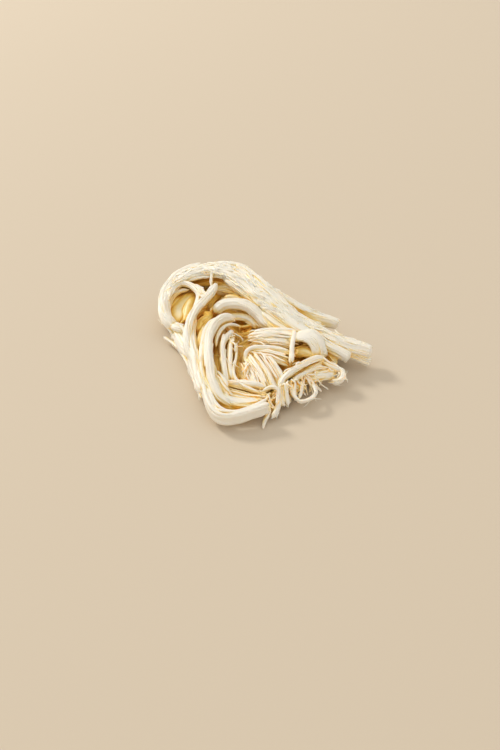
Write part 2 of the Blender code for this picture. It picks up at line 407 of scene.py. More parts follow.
def makeStrandTree():
    shape = strandShape
    tree, given = startTree("pulledStrand", {
        "Step": ("Float", 0.0012), "Sides": ("Int", 64), "Thin Sides": ("Int", 12),
        "Thin Below": ("Float", shape["thinBelow"]), "Drift": ("Float", 1.6), "Lump": ("Float", 0.0004),
        "Swell": ("Float", 0.3), "Material": ("Material", None)})
    curve = made(tree, "GeometryNodeMeshToCurve", {"Mesh": given["Geometry"]})
    curve = made(tree, "GeometryNodeCurveSplineType", {"Curve": curve}, spline_type="CATMULL_ROM")
    curve = made(tree, "GeometryNodeResampleCurve", {"Curve": curve, "Length": given["Step"]}, mode="LENGTH")
    curve = made(tree, "GeometryNodeSetCurveNormal", {"Curve": curve}, mode="Z_UP")
    curve = made(tree, "GeometryNodeSetCurveTilt", {"Curve": curve, "Tilt": named(tree, "roll")})
    tangent = made(tree, "GeometryNodeInputTangent")
    normal = made(tree, "GeometryNodeInputNormal")
    curve = store(tree, curve, "heart", made(tree, "GeometryNodeInputPosition"), "FLOAT_VECTOR")
    curve = store(tree, curve, "flow", tangent, "FLOAT_VECTOR")
    curve = store(tree, curve, "across", normal, "FLOAT_VECTOR")
    curve = store(tree, curve, "outward", vec(tree, "CROSS_PRODUCT", tangent, normal), "FLOAT_VECTOR")
    curve = store(tree, curve, "along", put(tree, "GeometryNodeSplineParameter").outputs["Length"])
    curve = store(tree, curve, "whole", put(tree, "GeometryNodeSplineLength").outputs["Length"])
    left = calc(tree, "SUBTRACT", named(tree, "whole"), named(tree, "along"))
    nearCut = times(tree, calc(tree, "LESS_THAN", left, shape["cutZone"]),
                    calc(tree, "LESS_THAN", named(tree, "tipEnd"), 0.001))
    curve = store(tree, curve, "nearCut", nearCut)
    isThin = made(tree, "FunctionNodeCompare", {0: named(tree, "wide"), 1: given["Thin Below"]},
                  data_type="FLOAT", operation="LESS_THAN")
    groups = put(tree, "GeometryNodeSeparateGeometry", {"Geometry": curve, "Selection": isThin}).outputs
    join = tree.nodes.new("GeometryNodeJoinGeometry")
    for group, sides in ((groups[0], given["Thin Sides"]), (groups[1], given["Sides"])):
        ring = made(tree, "GeometryNodeCurvePrimitiveCircle", {"Resolution": sides, "Radius": 1.0})
        ring = store(tree, ring, "spoke", made(tree, "GeometryNodeInputPosition"), "FLOAT_VECTOR")
        tube = made(tree, "GeometryNodeCurveToMesh", {
            "Curve": group, "Profile Curve": ring, "Fill Caps": True})
        tree.links.new(tube, join.inputs[0])
    mesh = join.outputs[0]

    spoke = named(tree, "spoke", "FLOAT_VECTOR")
    x, y = put(tree, "ShaderNodeSeparateXYZ", {0: spoke}).outputs[0:2]
    along, whole, phase = named(tree, "along"), named(tree, "whole"), named(tree, "phase")

    def slowNoise(around, rate, shift, detail=1.0):     # each use shifts to its own stretch of the noise
        z = calc(tree, "MULTIPLY_ADD", along, rate, calc(tree, "ADD", phase, shift))
        place = made(tree, "ShaderNodeCombineXYZ", {
            0: times(tree, x, around), 1: times(tree, y, around), 2: z})
        return made(tree, "ShaderNodeTexNoise", {"Vector": place, "Scale": 1.0, "Detail": detail})

    # ridges run along the strand, drift sideways and fade in and out
    drift = times(tree, calc(tree, "SUBTRACT", slowNoise(1.0, shape["driftRate"], 0.0), 0.5), given["Drift"])
    turn = times(tree, calc(tree, "ARCTAN2", y, x), times(tree, named(tree, "ridges"), 0.5))
    wave = calc(tree, "ABSOLUTE", calc(tree, "SINE", calc(tree, "ADD", turn, drift)))
    groove = calc(tree, "SUBTRACT", 1.0, calc(tree, "POWER", wave, shape["grooveSharpness"]))
    fade = calc(tree, "MULTIPLY_ADD", slowNoise(1.1, shape["fadeRate"], 9.0), *shape["fade"], clamp=True)
    streak = calc(tree, "SUBTRACT", slowNoise(6.0, shape["streakRate"], 31.0, 2.0), 0.5)
    cut = calc(tree, "MULTIPLY_ADD", streak, -shape["streakDepth"], times(tree, groove, fade))
    cut = times(tree, cut, named(tree, "deep"))

    # drawn-out tips, torn to different lengths round the strand
    tear = times(tree, slowNoise(shape["tearSpread"], 0.0, 83.0), named(tree, "ragged"))

    def tipShare(distance, reach):
        torn = calc(tree, "SUBTRACT", distance, times(tree, tear, calc(tree, "GREATER_THAN", reach, 0.001)))
        t = calc(tree, "SUBTRACT", 1.0, calc(tree, "DIVIDE", torn, reach, clamp=True))
        return calc(tree, "SQRT", calc(tree, "SUBTRACT", 1.0, times(tree, t, t)))

    share = times(tree, tipShare(along, named(tree, "tipStart")),
                  tipShare(calc(tree, "SUBTRACT", whole, along), named(tree, "tipEnd")))
    share = calc(tree, "MAXIMUM", share, shape["thinnestTip"])

    def swelling(shift):
        z = calc(tree, "MULTIPLY_ADD", along, shape["swellRate"], calc(tree, "ADD", phase, shift))
        noise = made(tree, "ShaderNodeTexNoise", {"Vector": made(tree, "ShaderNodeCombineXYZ", {2: z}),
                                                  "Scale": 1.0, "Detail": 1.0})
        return calc(tree, "MULTIPLY_ADD", calc(tree, "SUBTRACT", noise, 0.5), given["Swell"], 0.5)

    def flatten(value):
        power = calc(tree, "SUBTRACT", 1.0, named(tree, "square"))
        fuller = calc(tree, "POWER", calc(tree, "ABSOLUTE", value), power)
        return times(tree, calc(tree, "SIGN", value), fuller)

    sideways = times(tree, flatten(x), times(tree, named(tree, "wide"), swelling(13.0)))
    upward = times(tree, flatten(y), times(tree, named(tree, "thick"), swelling(61.0)))
    reach = vec(tree, "ADD", vec(tree, "SCALE", named(tree, "across", "FLOAT_VECTOR"), sideways),
                vec(tree, "SCALE", named(tree, "outward", "FLOAT_VECTOR"), upward))
    away = vec(tree, "NORMALIZE", reach)
    lump = times(tree, calc(tree, "SUBTRACT", slowNoise(0.7, shape["lumpRate"], 57.0, 2.0), 0.5),
                 given["Lump"])
    skin = calc(tree, "MULTIPLY_ADD", lump, 2.0, times(tree, cut, -1.0))
    place = vec(tree, "ADD", reach, vec(tree, "SCALE", away, skin))
    place = vec(tree, "ADD", named(tree, "heart", "FLOAT_VECTOR"), vec(tree, "SCALE", place, share))
    lowest = made(tree, "ShaderNodeCombineXYZ", {0: -9.0, 1: -9.0, 2: boardGap})
    place = vec(tree, "MAXIMUM", place, lowest)     # what lies low is pressed flat on the board
    grain = made(tree, "ShaderNodeCombineXYZ", {
        0: sideways, 1: upward, 2: calc(tree, "MULTIPLY_ADD", phase, 0.1, along)})
    mesh = store(tree, mesh, "grain", grain, "FLOAT_VECTOR")
    mesh = made(tree, "GeometryNodeSetPosition", {"Geometry": mesh, "Position": place})
    for name in ("heart", "across", "outward", "spoke", "whole", "wide", "thick", "roll", "ridges", "deep",
                 "phase", "tipStart", "tipEnd", "along", "ragged", "square"):
        mesh = made(tree, "GeometryNodeRemoveAttribute", {"Geometry": mesh, "Name": name})
    mesh = made(tree, "GeometryNodeSetShadeSmooth", {"Geometry": mesh})
    return endTree(tree, mesh, given["Material"])


strandTree = makeStrandTree()


def routeMesh(name, strands):
    # one polyline for each strand, with its sizes stored on its points
    points, edges, values = [], [], {}
    for s in strands:
        rng = random.Random(s["seed"] * 7 + len(points))
        phase = rng.uniform(0, 40)
        route = smooth(s["points"], 5)
        first = len(points)
        swing = [rng.uniform(0, 2 * math.pi) for _ in range(3)]
        for i, place in enumerate(route):
            sway = Vector([math.sin(i * 0.9 + a) for a in swing]) * s["wobble"]
            points.append((place + sway) * millimetre)
        edges += [(k, k + 1) for k in range(first, len(points) - 1)]
        sizes = {key: s[key] * millimetre for key in ("wide", "thick", "deep", "ragged")}
        sizes.update({"tipStart": s["tips"][0] * millimetre, "tipEnd": s["tips"][1] * millimetre})
        sizes.update({"roll": math.radians(s["roll"]), "ridges": float(s["ridges"]), "phase": phase})
        sizes.update({"tone": s["tone"], "square": s["square"]})
        for key, value in sizes.items():
            values.setdefault(key, []).extend([value] * (len(points) - first))
    mesh = bpy.data.meshes.new(name)
    mesh.from_pydata(points, edges, [])
    for key, numbers in values.items():
        mesh.attributes.new(key, "FLOAT", "POINT").data.foreach_set("value", numbers)
    return addObject(name, mesh)


def sweep(name, strands, settings, material):
    source = routeMesh(name + "Route", strands + layOver(strands, settings))
    values = {"Step": settings["step"] * millimetre, "Sides": settings["sides"], "Drift": settings["drift"],
              "Thin Sides": settings["thinSides"], "Lump": settings["lump"] * millimetre,
              "Swell": settings["swell"], "Material": material}
    mesh = runTree(strandTree, source, values, name)
    bpy.data.objects.remove(source)
    return finished(name, mesh)


loopedEnd = {
    "step": 1.2,
    "sides": 56,
    "thinSides": 16,
    "drift": 1.8,
    "lump": 0.4,
    "swell": 0.3,
    "perWidth": 0.9,
    "size": (1.4, 2.8),
    "sink": 0.3,
    "lift": 1.6,
    "lifted": 0.3,
}


def makeLoopedEnd():
    rim = [(-68, 7, 13), (-75, 22, 17), (-78, 37, 21), (-75, 46, 23), (-69, 48, 24), (-60, 44, 24),
           (-53, 36, 23), (-50, 26, 21), (-49, 18, 19), (-51, 11, 16)]
    strands = [
        strand([(-57, 6, 10), (-68, 11, 14), (-77, 24, 17), (-83, 42, 19), (-82, 60, 22), (-75, 70, 24),
                (-66, 76, 25)], 9, 8, tips=(6, 2), seed=1),
        strand([(-79, 46, 21), (-76, 56, 25), (-66, 65, 28), (-52, 69, 30)], 8, 7, tips=(8, 8), seed=2),
        strand(rim, 4.4, 5, roll=20, tips=(6, 5), wobble=0.2, cover=0.9, seed=3),
        strand([(-70, 15, 10), (-75, 28, 13), (-76, 38, 16), (-73, 45, 19), (-66, 46, 21)], 3, 4, tips=(4, 8),
               cover=0.6, seed=10),
        strand([(-70, 12, 5), (-75, 28, 9), (-74, 42, 11), (-67, 52, 13), (-54, 55, 15)], 12, 8, ridges=5,
               deep=0.6, tips=(9, 9), tone=0.3, cover=0, seed=4),
        strand([(-60, 8, 5), (-66, 20, 9), (-69, 34, 11), (-66, 48, 13), (-58, 56, 14)], 13, 8, ridges=5,
               deep=0.7, roll=-15, tips=(9, 9), tone=0.26, cover=0, seed=5),
        strand([(-52, 10, 5), (-56, 24, 10), (-60, 38, 13), (-60, 50, 15)], 11, 8, ridges=5, deep=0.7,
               roll=15, tips=(9, 9), tone=0.32, cover=0, seed=6),
        strand([(-66, 51, 22), (-57, 44, 25), (-50, 36, 26), (-44, 31, 27)], 4, 4, tips=(6, 6), seed=7),
        strand([(-53, 64, 33), (-51, 57, 33), (-49, 50, 30), (-46, 45, 28)], 2.4, 2.2, tips=(2, 6), seed=8),
        strand([(-62, 8, 12), (-55, 4, 13), (-47, 4, 14)], 6, 5, seed=9),
        strand([(-78, 26, 8), (-83, 44, 10), (-80, 61, 12), (-68, 71, 12), (-46, 74, 11), (-20, 68, 9)], 9, 9,
               tone=-0.1, seed=118),
        strand([(-72, 20, 4), (-79, 42, 4), (-77, 60, 5), (-62, 70, 5), (-34, 70, 4)], 9, 7, tone=-0.1,
               seed=119),
        strand([(-76, 26, 19), (-79, 43, 23), (-74, 55, 26), (-63, 60, 29), (-51, 62, 32), (-38, 62, 33)],
               3.4, 3, tips=(9, 9), seed=101),
        strand([(-74, 50, 24), (-66, 53, 26), (-56, 56, 29), (-46, 57, 31), (-35, 55, 32)], 3, 2.6,
               tips=(9, 9), seed=102),
        strand([(-77, 62, 25), (-66, 70, 29), (-54, 74, 31), (-40, 74, 31)], 3.6, 3, tips=(9, 9), seed=103),
        strand([(-72, 55, 19), (-60, 61, 21), (-48, 62, 23), (-30, 58, 25)], 8, 6, ridges=6, tone=0.3,
               cover=0.2, seed=105),
        strand([(-48, 52, 16), (-41, 62, 19), (-30, 61, 21), (-16, 51, 22)], 12, 7, ridges=7, tone=0.34,
               cover=0.2, seed=106),
        strand([(-48, 30, 12), (-49, 44, 14), (-46, 58, 15), (-38, 66, 17)], 12, 8, ridges=7, tone=0.4,
               cover=0.2, seed=107),
        strand([(-44, 54, 20), (-35, 58, 23), (-22, 54, 25), (-8, 44, 25)], 5, 4, tone=0.14, tips=(9, 9),
               cover=0.5, seed=108),
        strand([(-38, 45, 19), (-26, 46, 22), (-14, 41, 23), (0, 33, 22)], 6, 5, tone=0.16, cover=0.5,
               seed=109),
    ]
    return sweep("loopedEnd", strands, loopedEnd, cheeseStrand)


backArm = {
    "step": 1.3,
    "sides": 44,
    "thinSides": 10,
    "drift": 2.6,
    "lump": 0.5,
    "swell": 0.3,
    "perWidth": 1.8,
    "size": (0.9, 2.2),
    "sink": 0.2,
    "lift": 1.8,
    "lifted": 0.6,
}


def makeBackArm():
    strands = [
        strand([(-79, 48, 22), (-70, 56, 26), (-59, 61, 30), (-44, 61, 33), (-28, 55, 33), (-14, 47, 31),
                (4, 39, 28), (23, 32, 24), (45, 27, 20), (68, 25, 16), (88, 28, 13)], 10, 9, tips=(5, 0.6),
               ragged=0, seed=11),
        strand([(-42, 60, 30), (-25, 50, 30), (-8, 42, 28), (11, 32, 26), (30, 24, 24), (50, 19, 19),
                (75, 16, 13)], 8, 8, tips=(5, 0.6), ragged=0, seed=12),
        strand([(-66, 73, 24), (-45, 76, 27), (-29, 71, 27), (-12, 65, 24), (7, 60, 20), (23, 58, 15),
                (36, 58, 12), (52, 59, 9)], 8, 9, tips=(5, 0.6), ragged=0, cover=0.6, seed=13),
        strand([(-70, 74, 24), (-50, 77, 30), (-34, 76, 31), (-23, 70, 30), (-3, 57, 28), (17, 44, 24),
                (35, 35, 21), (52, 32, 17), (70, 30, 15), (85, 32, 13)], 5, 5, tips=(3, 0.6), ragged=0,
               seed=14),
        strand([(-60, 67, 29), (-36, 67, 32), (-12, 53, 31), (12, 41, 27), (34, 32, 22), (56, 27, 18),
                (80, 29, 14)], 8, 7, tips=(5, 0.6), ragged=0, seed=15),
        strand([(-74, 62, 12), (-44, 72, 14), (-10, 64, 12), (20, 56, 9), (44, 52, 6)], 12, 12, tips=(5, 2),
               cover=0.4, seed=16),
        strand([(-50, 66, 20), (-20, 60, 20), (14, 47, 17), (48, 35, 12), (70, 28, 9)], 12, 12, tips=(5, 2),
               cover=0.4, seed=17),
        strand([(-33, 52, 28), (-14, 42, 27), (4, 33, 25), (22, 26, 23), (40, 19, 21)], 3, 3, tone=0.05,
               tips=(9, 9), seed=18),
        strand([(-20, 43, 25), (-4, 34, 24), (14, 26, 22), (30, 20, 21)], 2.6, 2.4, tone=0.12, tips=(9, 9),
               seed=19),
        strand([(50, 20, 15), (60, 15, 11), (68, 10, 8)], 6, 5, tone=0.1, seed=20),
        strand([(50, 25, 17), (66, 23, 14), (77, 24, 10), (88, 25, 7)], 7, 7, tips=(9, 0.6), ragged=0,
               seed=121),
        strand([(54, 32, 17), (66, 31, 16), (76, 32, 14), (85, 33, 12)], 5, 6, tips=(9, 0.6), ragged=0,
               seed=123),
    ]
    return sweep("backArm", strands, backArm, cheeseStrand)


frontArm = {
    "step": 1.2,
    "sides": 60,
    "thinSides": 14,
    "drift": 1.6,
    "lump": 0.4,
    "swell": 0.22,
    "perWidth": 0.9,
    "size": (1.4, 3.0),
    "sink": 0.35,
    "lift": 1.4,
    "lifted": 0.3,
}


def makeFrontArm():
    strands = [
        strand([(-43, 48, 31), (-42, 36, 30), (-42, 24, 29), (-44, 8, 26), (-41, -7, 23), (-34, -22, 19),
                (-27, -33, 14)], 5.6, 6.5, tips=(8, 8), cover=0.8, seed=21),
        strand([(-46, 10, 19), (-38, -9, 19), (-26, -28, 17), (-15, -44, 14), (-3, -60, 11)], 7.6, 8,
               tips=(8, 6), cover=0.8, seed=22),
        strand([(-22, -27, 13), (-12, -42, 12), (-3, -57, 11), (6, -69, 9), (15, -75, 8), (25, -73, 9),
                (34, -65, 10), (42, -56, 11)], 6.4, 9, ridges=8, deep=0.8, tips=(12, 0.8), wobble=0.2,
               cover=0.4, ragged=0, square=0.42, seed=23),
        strand([(-16, -38, 17), (-5, -56, 15), (5, -70, 13), (15, -76, 12), (26, -74, 12), (35, -66, 13),
                (43, -57, 15)], 3, 2.4, tips=(9, 0.8), wobble=0.1, cover=0, ragged=0, seed=112),
        strand([(-12, -37, 17), (-2, -54, 15), (7, -66, 13), (16, -71, 12), (25, -70, 12), (33, -62, 13),
                (40, -54, 15)], 2.6, 2.2, tips=(9, 0.8), wobble=0.1, cover=0, ragged=0, seed=113),
        strand([(-8, -49, 14), (1, -64, 12), (8, -71, 12), (16, -74, 13), (25, -72, 13)], 2.4, 2, tips=(9, 9),
               wobble=0.1, cover=0, seed=114),
        strand([(-50, 6, 12), (-39, -10, 10), (-26, -30, 8), (-14, -47, 6)], 6, 8, tips=(5, 6), tone=-0.12,
               seed=24),
        strand([(-68, 11, 8), (-58, 3, 7), (-47, -5, 6), (-37, -15, 5)], 4, 4, tips=(2, 8), tone=-0.12,
               seed=25),
        strand([(-61, 4, 4), (-50, -5, 4), (-38, -17, 4)], 3, 3, tips=(2, 8), tone=-0.12, seed=26),
        strand([(-23, 15, 22), (-27, 5, 24), (-26, -9, 24), (-21, -25, 21), (-14, -40, 17), (-5, -55, 12)],
               4, 6, tips=(8, 8), seed=27),
        strand([(-14, 17, 21), (-20, 13, 24), (-23, 4, 26), (-22, -8, 26), (-17, -23, 25), (-10, -37, 22),
                (-2, -50, 17), (9, -60, 11), (20, -62, 8)], 6.2, 9, tips=(6, 8), cover=1.3, seed=28),
        strand([(-9, 14, 20), (-15, 10, 22), (-18, 2, 23), (-17, -9, 23), (-13, -20, 22)], 2.4, 3,
               tips=(6, 8), seed=120),
        strand([(-56, 8, 15), (-47, -1, 15), (-38, -14, 14), (-28, -28, 12), (-17, -43, 10)], 3, 3,
               tips=(8, 8), tone=-0.12, seed=29),
        strand([(-46, 2, 8), (-34, -19, 7), (-21, -39, 6), (-10, -54, 5)], 4, 5, tips=(5, 8), tone=-0.12,
               seed=30),
    ]
    strands += frayRow([(-66, 8, 7), (-55, -3, 6), (-40, -14, 6), (-25, -31, 5), (-13, -46, 4)], 8,
                       (-58, -44), (12, 26), (-16, 16), (0.1, 0.6), (0.9, 1.8), 5, -0.12)
    return sweep("frontArm", strands, frontArm, cheeseStrand)


curledMiddle = {
    "step": 1.3,
    "sides": 40,
    "thinSides": 10,
    "drift": 1.6,
    "lump": 0.4,
    "swell": 0.3,
    "perWidth": 0.9,
    "size": (1.1, 2.4),
    "sink": 0.3,
    "lift": 1.6,
    "lifted": 0.4,
}


def makeCurledMiddle():
    strands = [
        strand([(-34, 22, 21), (-31, 28, 24), (-25, 32, 26), (-15, 33, 26), (-5, 31, 24), (4, 28, 21),
                (13, 23, 18)], 9, 8, ridges=8, deep=0.9, tips=(4, 8), cover=0.5, ragged=0, seed=31),
        strand([(-31, 25, 16), (-19, 27, 18), (-8, 29, 18), (4, 25, 15)], 7, 6, tone=0.05, seed=32),
        strand([(-12, 9, 19), (-12, -5, 21), (-8, -19, 21), (-2, -31, 19), (4, -41, 15), (10, -49, 10)], 4.2,
               6, tips=(6, 8), seed=33),
        strand([(-9, 4, 17), (-6, -10, 19), (0, -24, 19), (5, -34, 17), (10, -42, 13)], 3.8, 5,
               tips=(6, 8), seed=34),
        strand([(-5, -2, 17), (2, -18, 18), (7, -33, 17), (12, -41, 15), (19, -45, 14), (32, -46, 13)], 2.4,
               3.4, tips=(5, 8), wobble=0.2, cover=0.5, seed=35),
        strand([(-2, -42, 19), (4, -46, 18), (10, -51, 16)], 2, 2, seed=36),
        strand([(-8, -46, 14), (-1, -54, 13), (7, -58, 11), (16, -58, 9), (26, -56, 9), (36, -50, 10)], 10, 6,
               deep=0.8, tips=(8, 6), tone=0.08, seed=37),
        strand([(8, -47, 14), (14, -44, 14), (21, -42, 15), (28, -41, 15), (35, -41, 14)], 4.4, 4,
               tips=(6, 6), seed=38),
        strand([(-24, 20, 14), (-16, 15, 14), (-6, 8, 12), (2, -2, 10)], 4, 4, tone=0.34, tips=(9, 9),
               seed=39),
        strand([(2, 4, 18), (9, 6, 21), (18, 11, 22), (27, 13, 22), (37, 13, 20)], 10, 4, tips=(9, 6),
               tone=-0.1, seed=40),
        strand([(7, 0, 16), (18, 2, 18), (27, 5, 19), (36, 6, 18)], 7, 4, tips=(8, 6), tone=-0.05, seed=41),
        strand([(10, -20, 13), (8, -14, 18), (11, -10, 21), (18, -7, 22), (29, -5, 22), (41, -4, 19)], 3.6, 4,
               tips=(3, 6), wobble=0.2, seed=42),
        strand([(13, -16, 16), (20, -12, 18), (29, -12, 18), (40, -12, 17)], 8, 4, tips=(6, 6), tone=0.05,
               seed=43),
        strand([(9, -8, 15), (18, -19, 16), (27, -28, 15), (36, -38, 11)], 12, 4, tips=(9, 8), tone=0.05,
               seed=44),
        strand([(4, -20, 12), (14, -31, 12), (26, -42, 11)], 8, 5, tips=(6, 6), tone=0.08, seed=45),
        strand([(31, 19, 23), (36, 6, 25), (39, -4, 25), (43, -16, 21)], 3.6, 4, seed=46),
        strand([(28, 13, 20), (35, 12, 23), (42, 12, 25), (48, 11, 25), (53, 9, 22), (56, 7, 17),
                (57, 4, 12)], 12, 4, deep=0.5, tips=(6, 5), cover=0.8, seed=47),
        strand([(30, 19, 20), (38, 19, 23), (46, 18, 24), (52, 15, 21), (58, 10, 15)], 8, 5, tips=(5, 8),
               seed=48),
        strand([(35, 0, 14), (43, 5, 17), (51, 6, 17), (59, 5, 14)], 10, 6, tone=0.2, cover=0.4, seed=111),
        strand([(-4, 36, 24), (7, 28, 23), (19, 22, 22), (33, 18, 21)], 5, 5, seed=49),
        strand([(-8, 40, 22), (2, 30, 20), (13, 22, 19), (24, 18, 18)], 5, 5, tone=0.12, seed=50),
        strand([(-45, 28, 15), (-37, 20, 18), (-39, 10, 18), (-35, -2, 16)], 6, 6, tone=0.3, seed=51),
        strand([(-39, 31, 16), (-36, 17, 18), (-36, 5, 17), (-30, -9, 16)], 5, 5, tone=0.34, seed=52),
        strand([(-30, 20, 15), (-32, 5, 18), (-30, -9, 18), (-24, -24, 16)], 6, 6, tone=0.3, tips=(9, 9),
               seed=122),
        strand([(-53, 10, 12), (-50, 22, 14), (-46, 38, 15)], 9, 7, tone=0.34, tips=(9, 9), seed=125),
        strand([(-14, 8, 13), (-17, -5, 15), (-13, -19, 15), (-6, -32, 14), (2, -45, 10)], 6, 6, tone=0.2,
               tips=(9, 9), seed=124),
        strand([(-42, 11, 12), (-40, 24, 14), (-34, 29, 15), (-24, 27, 14)], 3.6, 4, tone=0.30, seed=53),
        strand([(-18, 31, 12), (-10, 24, 11), (1, 11, 11)], 4, 4, tone=0.50, seed=54),
        strand([(-16, 8, 12), (-7, 16, 12), (0, 20, 14), (9, 20, 15)], 3, 3, tone=0.40, seed=55),
        strand([(-12, 35, 15), (-6, 26, 13), (1, 0, 12)], 3, 3, tone=0.42, seed=56),
        strand([(-17, 22, 16), (-11, 21, 15), (-6, 25, 15), (-2, 31, 17)], 2.4, 2.4, tone=0.24, seed=57),
        strand([(-6, -6, 12), (0, 7, 13), (6, 13, 15), (14, 15, 17)], 3.4, 3, tone=0.36, seed=58),
        strand([(48, 22, 21), (51, 17, 19), (55, 12, 17), (59, 6, 14)], 6, 5, tone=0.1, tips=(5, 6), seed=59),
        strand([(-2, -4, 9), (1, -16, 12), (6, -28, 12), (13, -38, 10)], 5, 5, tone=0.3, tips=(9, 9),
               seed=60),
        strand([(12, -53, 5), (23, -50, 6), (34, -45, 7), (43, -38, 7)], 12, 8, tone=0.22, tips=(9, 9),
               seed=115),
        strand([(39, 13, 19), (46, 12, 22), (53, 10, 19), (58, 7, 14)], 6, 3, tone=0.0, tips=(5, 5),
               seed=116),
        strand([(38, 8, 16), (46, 7, 18), (54, 5, 16), (60, 3, 12)], 5, 3, tone=0.12, tips=(5, 5), seed=117),
    ]
    strands += fan([(-6, -44, 17), (2, -52, 14), (8, -58, 10)], [(33, -42, 13), (37, -47, 12), (38, -52, 9)],
                   12, -1.5, (1.4, 3.2), 34, 0.04)
    strands += fan([(-14, -28, 22), (-8, -36, 20), (-5, -44, 17)],
                   [(8, -62, 10), (14, -60, 11), (18, -56, 12)], 9, 1.5, (1.4, 3.0), 35)
    strands += fan([(3, 10, 20), (2, 4, 20), (6, -1, 17)], [(38, 19, 22), (39, 12, 23), (38, 4, 19)], 26, 3,
                   (1.1, 3.2), 31, -0.1)
    strands += fan([(10, -13, 19), (14, -9, 19)], [(42, -14, 18), (42, -4, 20)], 7, 2, (1.3, 2.6), 32)
    strands += fan([(4, -20, 14), (10, -9, 18), (17, -6, 20)], [(27, -47, 10), (37, -42, 12), (46, -30, 13)],
                   34, 3.5, (1.0, 2.6), 33)
    strands += frayRow([(-20, 30, 14), (-11, 20, 14), (-3, 8, 13), (2, -4, 13)], 16, (-180, 180), (6, 14),
                       (-150, 150), (0.0, 0.3), (0.8, 1.8), 6, 0.35)
    strands += frayRow([(-42, 30, 15), (-37, 14, 14), (-34, 0, 13)], 10, (-180, 180), (6, 12), (-150, 150),
                       (0.0, 0.3), (0.8, 1.6), 7, 0.3)
    strands += frayRow([(8, -14, 17), (14, -24, 17), (24, -36, 15)], 12, (-70, 20), (8, 18), (-60, 60),
                       (0.0, 0.3), (0.8, 1.7), 8)
    strands += frayRow([(-9, 2, 20), (-5, -18, 21), (3, -32, 19)], 12, (-80, 60), (6, 13), (-140, 140),
                       (0.0, 0.35), (0.7, 1.4), 11)
    strands += frayRow([(0, 10, 19), (3, 2, 19), (10, -2, 19)], 12, (-15, 40), (10, 26), (-40, 40),
                       (-0.1, 0.2), (0.8, 1.7), 9)
    return sweep("curledMiddle", strands, curledMiddle, cheeseStrand)


tornSide = {
    "step": 1.0,
    "sides": 36,
    "thinSides": 10,
    "drift": 2.2,
    "lump": 0.6,
    "swell": 0.4,
    "perWidth": 1.2,
    "size": (0.8, 1.9),
    "sink": 0.2,
    "lift": 1.5,
    "lifted": 0.6,
}


def makeTornSide():
    strands = [
        strand([(41, -37, 11), (42, -28, 15), (46, -19, 18), (51, -10, 19), (56, -1, 18), (61, 5, 15)], 4.4,
               4.6, tips=(6, 8), seed=61),
        strand([(47, -24, 11), (52, -15, 13), (56, -6, 14), (61, 1, 14)], 4.4, 4.4, tone=0.08, seed=62),
        strand([(59, 1, 16), (67, -1, 14), (74, 0, 12), (77, -5, 10), (74, -8, 8), (68, -7, 6)], 4, 4.5,
               tips=(8, 5), seed=63),
        strand([(48, -29, 13), (52, -35, 10), (58, -38, 8), (64, -34, 8), (65, -27, 9), (59, -19, 11)], 2.6,
               3, tips=(5, 5), seed=64),
        strand([(52, -21, 12), (56, -30, 10), (57, -37, 8)], 2.6, 2.4, seed=65),
        strand([(40, -29, 15), (43, -38, 11), (48, -46, 5)], 4, 4, tips=(5, 3), seed=66),
        strand([(45, -29, 15), (47, -36, 11), (52, -43, 5)], 3.6, 3.4, tips=(5, 3), seed=67),
        strand([(39, -36, 13), (44, -44, 10), (46, -51, 6), (45, -58, 3)], 3.6, 3.6, tips=(5, 3), seed=68),
        strand([(33, -45, 14), (38, -41, 16), (44, -42, 14), (46, -47, 8)], 3, 3, tips=(5, 5), seed=69),
        strand([(36, -52, 9), (42, -54, 6), (42, -61, 3), (44, -67, 1)], 2.8, 3, tips=(3, 8), seed=70),
        strand([(50, -18, 10), (58, -13, 10), (65, -6, 10), (72, -1, 10)], 8, 7, tone=0.12, seed=71),
        strand([(46, -29, 12), (50, -21, 14), (55, -13, 15), (60, -6, 15), (66, -3, 13)], 3, 3, tips=(6, 9),
               seed=72),
        strand([(40, -42, 9), (44, -34, 9), (50, -27, 9), (57, -22, 8)], 6, 6, tone=0.15, seed=73),
    ]
    strands += frayRow([(39, -43, 12), (44, -35, 14), (48, -26, 15), (53, -16, 15), (58, -8, 14)], 38,
                       (-110, -10), (7, 15), (-300, 300), (0.5, 0.95), (0.8, 2.0), 1)
    strands += frayRow([(38, -46, 10), (43, -36, 12), (49, -27, 13), (56, -14, 13)], 60, (-150, 10), (4, 10),
                       (-320, 320), (0.3, 0.9), (0.6, 1.3), 10)
    strands += frayRow([(58, -8, 14), (66, -3, 13), (74, -2, 11)], 12, (-100, 0), (4, 9), (-240, 240),
                       (0.4, 0.9), (0.8, 1.6), 2)
    strands += frayRow([(32, -54, 8), (37, -47, 10), (41, -48, 8)], 12, (-110, -30), (5, 13), (-120, 120),
                       (0.5, 0.95), (0.8, 1.9), 3)
    strands += frayRow([(46, -24, 17), (52, -12, 19), (58, -2, 18)], 10, (150, 230), (6, 14), (-120, 120),
                       (0.0, 0.3), (0.8, 1.6), 4)
    return sweep("tornSide", strands, tornSide, cheeseStrand)


packedCore = {
    "step": 2.0,
    "sides": 48,
    "thinSides": 10,
    "drift": 3.0,
    "lump": 1.2,
    "swell": 0.3,
    "perWidth": 0.5,
    "size": (2.0, 3.6),
    "sink": 0.3,
    "lift": 0.5,
    "lifted": 0.3,
}


